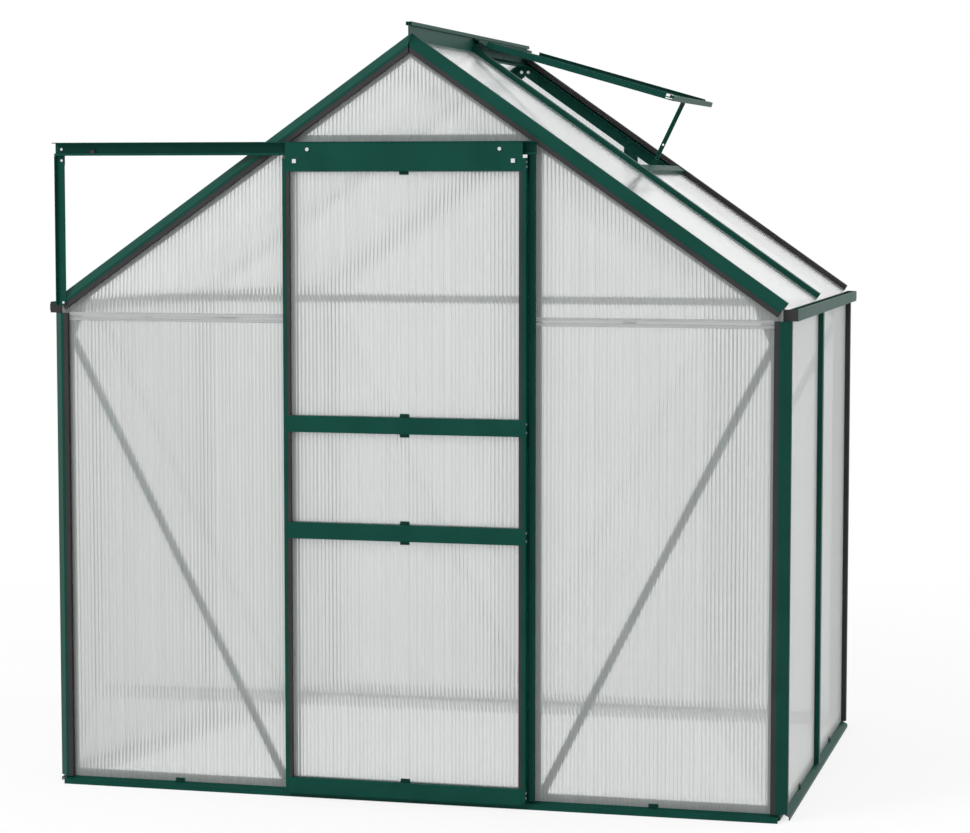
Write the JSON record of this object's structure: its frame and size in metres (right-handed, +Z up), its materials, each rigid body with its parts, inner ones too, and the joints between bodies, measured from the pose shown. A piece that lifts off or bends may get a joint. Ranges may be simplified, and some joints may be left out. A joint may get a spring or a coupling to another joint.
{
  "type": "greenhouse",
  "caption": "Small free-standing gable greenhouse: green aluminium bars, clear twin-wall panels, a sliding door on an overhead track and a hinged roof vent on a stay.",
  "frame": {"origin": "middle of the overall footprint, on the ground", "axes": "+Z up, -Y out of the door gable, +X towards the slope with the vent"},
  "size_m": [1.93, 1.305, 1.95],
  "materials": {
    "frame": "dark green powder coat on extruded aluminium, satin",
    "glazing": "clear twin-wall polycarbonate with upright flutes",
    "gasket": "black glazing strip, matt",
    "black_plastic": "black moulding",
    "fasteners": "bright zinc plate",
    "clips": "dark green moulding"
  },
  "bodies": {
    "frame": {"front_sill": "frame", "rear_sill": "frame", "right_sill": "frame", "left_sill": "frame", "front_right_post": "frame", "front_left_post": "frame", "rear_right_post": "frame", "rear_left_post": "frame", "front_right_rafter": "frame", "front_left_rafter": "frame", "rear_right_rafter": "frame", "rear_left_rafter": "frame", "wall_glazing_strips": "gasket", "rafter_glazing_strips": "gasket", "ridge_bar": "frame", "right_gutter": "frame", "left_gutter": "frame", "gutter_end_caps": "black_plastic", "wall_bars": "frame", "roof_bars": "frame", "right_door_post": "frame", "left_door_post": "frame", "door_header": "frame", "rear_gable_bars": "frame", "door_track": "frame", "door_track_strut": "frame", "door_stops": "black_plastic", "rear_eave_tie": "frame", "gusset_plates": "frame", "gable_braces": "frame", "front_side_panels": "glazing", "panel_joint_strips": "glazing", "front_top_panel": "glazing", "rear_panels": "glazing", "right_wall_panels": "glazing", "left_wall_panels": "glazing", "left_roof_panels": "glazing", "right_roof_panels": "glazing", "vent_sill": "frame", "vent_stay_peg": "black_plastic", "panel_clips": "clips", "frame_bolts": "fasteners"},
    "door": {"door_stiles": "frame", "door_bottom_rail": "frame", "door_middle_rails": "frame", "door_top_rail": "frame", "door_panels": "glazing", "door_glazing_strips": "gasket", "door_wheel_axles": "fasteners", "door_glides": "black_plastic", "door_panel_clips": "clips", "door_fasteners": "fasteners"},
    "left_wheel": {"door_left_wheel": "black_plastic"},
    "right_wheel": {"door_right_wheel": "black_plastic"},
    "vent": {"vent_top_rail": "frame", "vent_bottom_rail": "frame", "vent_side_rails": "frame", "vent_panel": "glazing", "vent_stay_bracket": "black_plastic"},
    "vent_stay": {"vent_stay_arm": "frame"}
  },
  "joints": [
    {"name": "door_slide", "type": "slide", "parent": "frame", "child": "door", "axis": [-1, 0, 0], "range_m": [0, 0.56]},
    {"name": "left_wheel_roll", "type": "hinge", "parent": "door", "child": "left_wheel", "pos_m": [-0.2555, -0.6345, 1.63709], "axis": [0, -1, 0], "range_deg": [0, 4012]},
    {"name": "right_wheel_roll", "type": "hinge", "parent": "door", "child": "right_wheel", "pos_m": [0.2365, -0.6345, 1.63709], "axis": [0, -1, 0], "range_deg": [0, 4012]},
    {"name": "vent_hinge", "type": "hinge", "parent": "frame", "child": "vent", "pos_m": [0.0035, 0.0085, 1.9451], "axis": [0, -1, 0], "range_deg": [-19, 0]},
    {"name": "vent_stay_fold", "type": "hinge", "parent": "vent", "child": "vent_stay", "pos_m": [0.51625, 0.318, 1.77056], "axis": [0, -1, 0], "range_deg": [-72.1, 0]}
  ],
  "couplings": [
    {"joint": "left_wheel_roll", "follows": "door_slide", "rad_per_m": 125},
    {"joint": "right_wheel_roll", "follows": "door_slide", "rad_per_m": 125},
    {"joint": "vent_stay_fold", "follows": "vent_hinge", "ratio": 3.7895}
  ]
}
